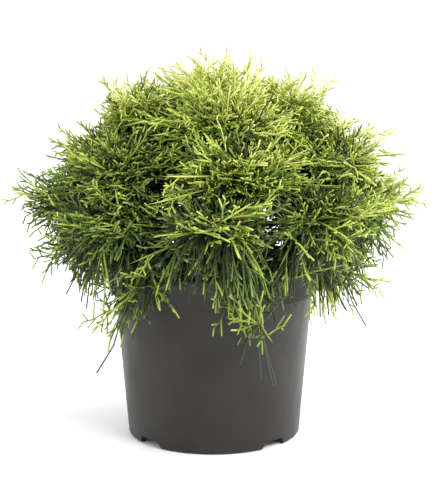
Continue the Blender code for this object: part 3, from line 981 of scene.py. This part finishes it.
# %% [markdown]
# ## Trunk and boughs
# Hardly anything of these shows, but where a gap opens, the eye should meet bark. A curve with a
# round bevel gives each limb its bend and its taper. It is then made a mesh, and noise that is
# drawn out along the height pushes its surface in and out, as flaking bark does.

# %% Trunk
TRUNK_FOOT = (-0.0040, 0.0030)
TRUNK_POINTS = 60
# Height above the medium and radius, with the flare of the roots at the foot.
TRUNK_STATIONS = (
    (0.000, 0.0115),
    (0.004, 0.0093),
    (0.011, 0.0076),
    (0.026, 0.0068),
    (0.055, 0.0058),
    (0.090, 0.0042),
    (0.1297, 0.0020),
)
TRUNK_LENGTH = TRUNK_STATIONS[-1][0]


def trunk_line(height):
    """The trunk's middle line, which leans from its foot to the axis, at a height above the medium."""
    share = min(1.0, max(0.0, height / TRUNK_LENGTH))
    lean = 1 - share * share * (3 - 2 * share)
    return np.array((TRUNK_FOOT[0] * lean, TRUNK_FOOT[1] * lean, SOIL_LEVEL + height))


def trunk_limb():
    heights = np.linspace(0, TRUNK_LENGTH, TRUNK_POINTS)
    return [trunk_line(height) for height in heights], np.interp(heights, *zip(*TRUNK_STATIONS))


# %% Boughs
BOUGH_RADII = (0.0027, 0.0017)
BOUGH_POINTS = 28
BOUGH_BOW = 0.46


def bough_limb(row, number):
    """From the trunk to the ball where its mass begins, as the solid of the bough does."""
    aim = compass(row.turn + number * 360 / row.masses, row.stem)
    leave = row.leave + row.step * (number * 3 % row.masses)
    start = trunk_line(leave - SOIL_LEVEL)
    tip = HEART + aim * LIMB_BALL
    handle = tip - aim * BOUGH_BOW * np.linalg.norm(tip - start)
    t = np.linspace(0, 1, BOUGH_POINTS)[:, None]
    path = (1 - t) ** 2 * start + 2 * t * (1 - t) * handle + t * t * tip
    return path, np.linspace(*BOUGH_RADII, BOUGH_POINTS)


limbs = [trunk_limb()] + [bough_limb(row, number) for row in ROWS[:-1] for number in range(row.masses)]
print("limbs", len(limbs))

# %% Barked mesh
BEVEL_RESOLUTION = 5
RIDGES_ACROSS = 420
RIDGES_ALONG = 110
RIDGE_HEIGHT = 0.0004


def limb_curve(lines):
    """One curve whose splines are tapering limbs, as (points, radii) pairs."""
    curve = bpy.data.curves.new("limbs", "CURVE")
    curve.dimensions = "3D"
    curve.bevel_depth = 1.0
    curve.bevel_resolution = BEVEL_RESOLUTION
    curve.use_fill_caps = True
    for points, radii in lines:
        spline = curve.splines.new("POLY")
        spline.points.add(len(points) - 1)
        for target, point, radius in zip(spline.points, points, radii):
            target.co = (*point, 1.0)
            target.radius = radius
    return curve


def barked_mesh():
    helper = bpy.data.objects.new("limbs", limb_curve(limbs))
    bpy.context.scene.collection.objects.link(helper)
    graph = bpy.context.evaluated_depsgraph_get()
    mesh = bpy.data.meshes.new_from_object(helper.evaluated_get(graph))
    bpy.data.objects.remove(helper, do_unlink=True)
    for vertex in mesh.vertices:
        x, y, z = vertex.co
        ridge = noise.noise(Vector((x * RIDGES_ACROSS, y * RIDGES_ACROSS, z * RIDGES_ALONG)))
        vertex.co += vertex.normal * RIDGE_HEIGHT * ridge
    mesh.shade_smooth()
    return mesh


limb_nodes = ["trunk"] + [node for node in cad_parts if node.startswith("bough")]
put_in_scene(barked_mesh(), "barked_limbs", bark_finish, "bark", *limb_nodes)

# %% [markdown]
# ## Camera, floor and light
# The picture was taken with a long lens from a little above the rim, against white. The camera
# repeats that angle. A pale floor runs up into a backdrop, so that no horizon shows behind the
# plant. Large soft lamps stand on the right, on the left and behind, in an even white surround.

# %% Camera
CAMERA_SIDE = 0.0058
CAMERA_BACK = 1.372
CAMERA_HEIGHT = 0.43
AIM_HEIGHT = 0.19
FOCAL_PIXELS = 1357
FRAME_PIXELS = 500
SENSOR = 36.0

camera_data = bpy.data.cameras.new("camera")
camera_data.sensor_width = SENSOR
camera_data.lens = SENSOR * FOCAL_PIXELS / FRAME_PIXELS
camera = bpy.data.objects.new("camera", camera_data)
camera.location = (CAMERA_SIDE, -CAMERA_BACK, CAMERA_HEIGHT)
gaze = Vector((CAMERA_SIDE, 0.0, AIM_HEIGHT)) - camera.location
camera.rotation_euler = gaze.to_track_quat("-Z", "Y").to_euler()
bpy.context.scene.collection.objects.link(camera)
bpy.context.scene.camera = camera
print("lens", camera_data.lens, "mm")

# %% Floor
FLOOR_FRONT = 4.0
FLOOR_SIDE = 5.0
SWEEP_START = 2.0
SWEEP_ROUND = 1.5
BACKDROP_TOP = 5.0
FLOOR_PALE = 0.94


def floor_sweep():
    """A floor that curves up into a backdrop, drawn as a profile and pulled sideways."""
    bm = bmesh.new()
    bend = arc((0, 0), SWEEP_ROUND, -90, 0, 16)
    profile = [(-FLOOR_FRONT, 0.0)] + [(SWEEP_START + y, SWEEP_ROUND + z) for y, z in bend]
    profile += [(SWEEP_START + SWEEP_ROUND, BACKDROP_TOP)]
    points = [bm.verts.new((-FLOOR_SIDE, y, z)) for y, z in profile]
    edges = [bm.edges.new(pair) for pair in zip(points, points[1:])]
    pulled = bmesh.ops.extrude_edge_only(bm, edges=edges)
    bmesh.ops.translate(bm, verts=pulled_corners(pulled), vec=(2 * FLOOR_SIDE, 0, 0))
    mesh = bpy.data.meshes.new("floor")
    bm.to_mesh(mesh)
    bm.free()
    mesh.shade_smooth()
    return mesh


floor = bpy.data.objects.new("floor", floor_sweep())
bpy.context.scene.collection.objects.link(floor)
floor_finish, _, floor_shader = new_finish("pale_floor", roughness=0.9)
floor_shader.inputs["Base Color"].default_value = grey(FLOOR_PALE)
floor.data.materials.append(floor_finish)

# %% Lamps and surround
LAMP_AIM = Vector((0, 0, 0.2))


def lamp(name, place, size, watts):
    data = bpy.data.lights.new(name, "AREA")
    data.size = size
    data.energy = watts
    light = bpy.data.objects.new(name, data)
    light.location = place
    light.rotation_euler = (LAMP_AIM - light.location).to_track_quat("-Z", "Y").to_euler()
    bpy.context.scene.collection.objects.link(light)


lamp("key", place=(1.1, -1.3, 1.7), size=0.9, watts=42.0)
lamp("side", place=(1.5, 0.1, 0.6), size=0.8, watts=12.0)
lamp("fill", place=(-1.7, -1.1, 0.9), size=1.2, watts=9.0)
lamp("back", place=(-0.4, 1.5, 1.5), size=1.2, watts=16.0)

world = bpy.data.worlds.new("studio")
world.use_nodes = True
world.node_tree.nodes["Background"].inputs["Color"].default_value = grey(1.0)
world.node_tree.nodes["Background"].inputs["Strength"].default_value = 1.0
bpy.context.scene.world = world
bpy.context.scene.view_settings.view_transform = "Standard"
